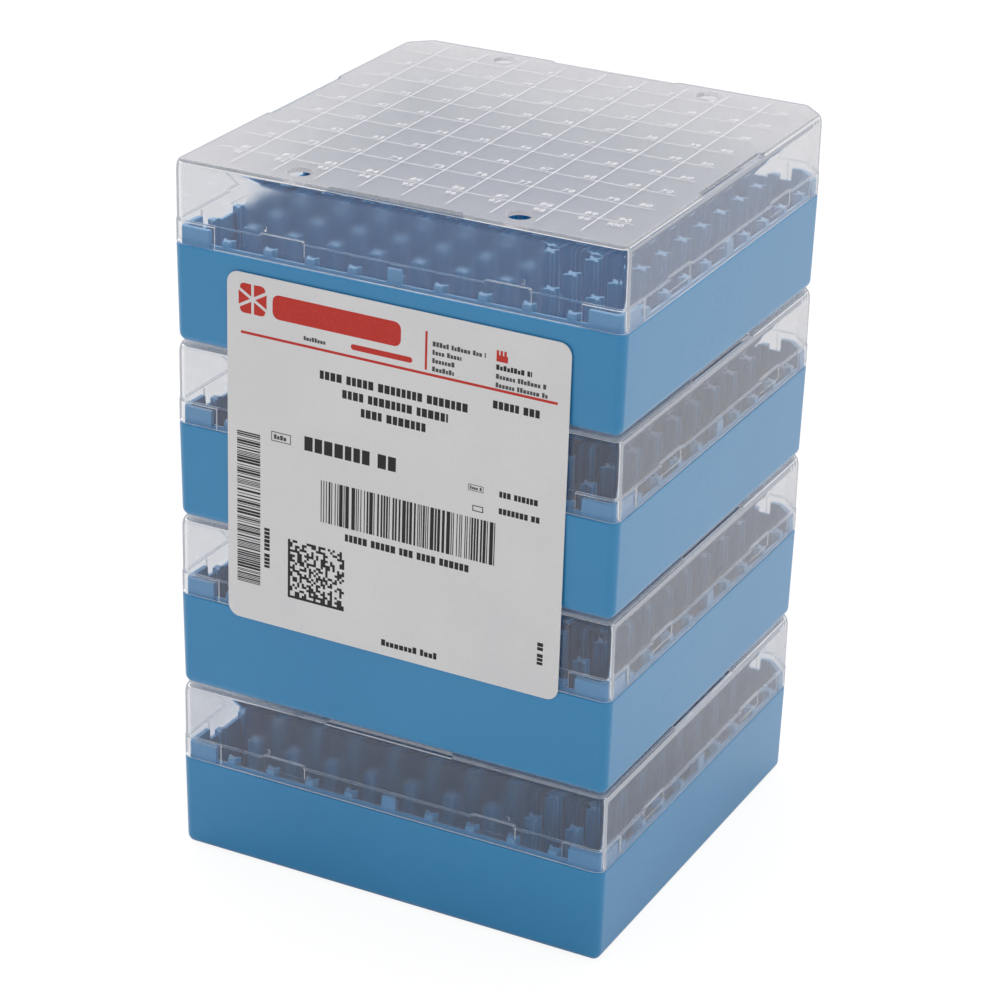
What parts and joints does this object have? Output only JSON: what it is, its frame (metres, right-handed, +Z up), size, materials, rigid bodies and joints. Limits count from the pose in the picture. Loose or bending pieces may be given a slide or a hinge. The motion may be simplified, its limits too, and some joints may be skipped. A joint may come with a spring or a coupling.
{
  "type": "cryogenic storage box stack",
  "caption": "Stack of square freezer boxes with clear lift-off lids, blue bases parted into tube cells by upright posts, and a square label on the front.",
  "frame": {"origin": "centre of the underside of the lowest base, on the surface it stands on", "axes": "+Z up through the stack, -Y towards the front with the label and the writing panels, +X to the right seen from the front"},
  "size_m": [0.133, 0.1336, 0.2069],
  "materials": {
    "blue_polycarbonate": "satin moulded blue polycarbonate",
    "clear_polycarbonate": "polished clear polycarbonate",
    "label_paper": "matt printed adhesive label"
  },
  "bodies": {
    "box_1_base": {"base_1": "blue_polycarbonate"},
    "box_1_lid": {"lid_1": "clear_polycarbonate"},
    "box_2_base": {"base_2": "blue_polycarbonate"},
    "box_2_lid": {"lid_2": "clear_polycarbonate"},
    "box_3_base": {"base_3": "blue_polycarbonate", "pack_label": "label_paper"},
    "box_3_lid": {"lid_3": "clear_polycarbonate"},
    "box_4_base": {"base_4": "blue_polycarbonate"},
    "box_4_lid": {"lid_4": "clear_polycarbonate"}
  },
  "joints": [
    {"name": "lid_1_lift", "type": "slide", "parent": "box_1_base", "child": "box_1_lid", "axis": [0, 0, 1], "range_m": [0, 0.06]},
    {"name": "box_2_lift", "type": "slide", "parent": "box_1_lid", "child": "box_2_base", "axis": [0, 0, 1], "range_m": [0, 0.03]},
    {"name": "lid_2_lift", "type": "slide", "parent": "box_2_base", "child": "box_2_lid", "axis": [0, 0, 1], "range_m": [0, 0.06]},
    {"name": "box_3_lift", "type": "slide", "parent": "box_2_lid", "child": "box_3_base", "axis": [0, 0, 1], "range_m": [0, 0.03]},
    {"name": "lid_3_lift", "type": "slide", "parent": "box_3_base", "child": "box_3_lid", "axis": [0, 0, 1], "range_m": [0, 0.06]},
    {"name": "box_4_lift", "type": "slide", "parent": "box_3_lid", "child": "box_4_base", "axis": [0, 0, 1], "range_m": [0, 0.03]},
    {"name": "lid_4_lift", "type": "slide", "parent": "box_4_base", "child": "box_4_lid", "axis": [0, 0, 1], "range_m": [0, 0.06]}
  ]
}
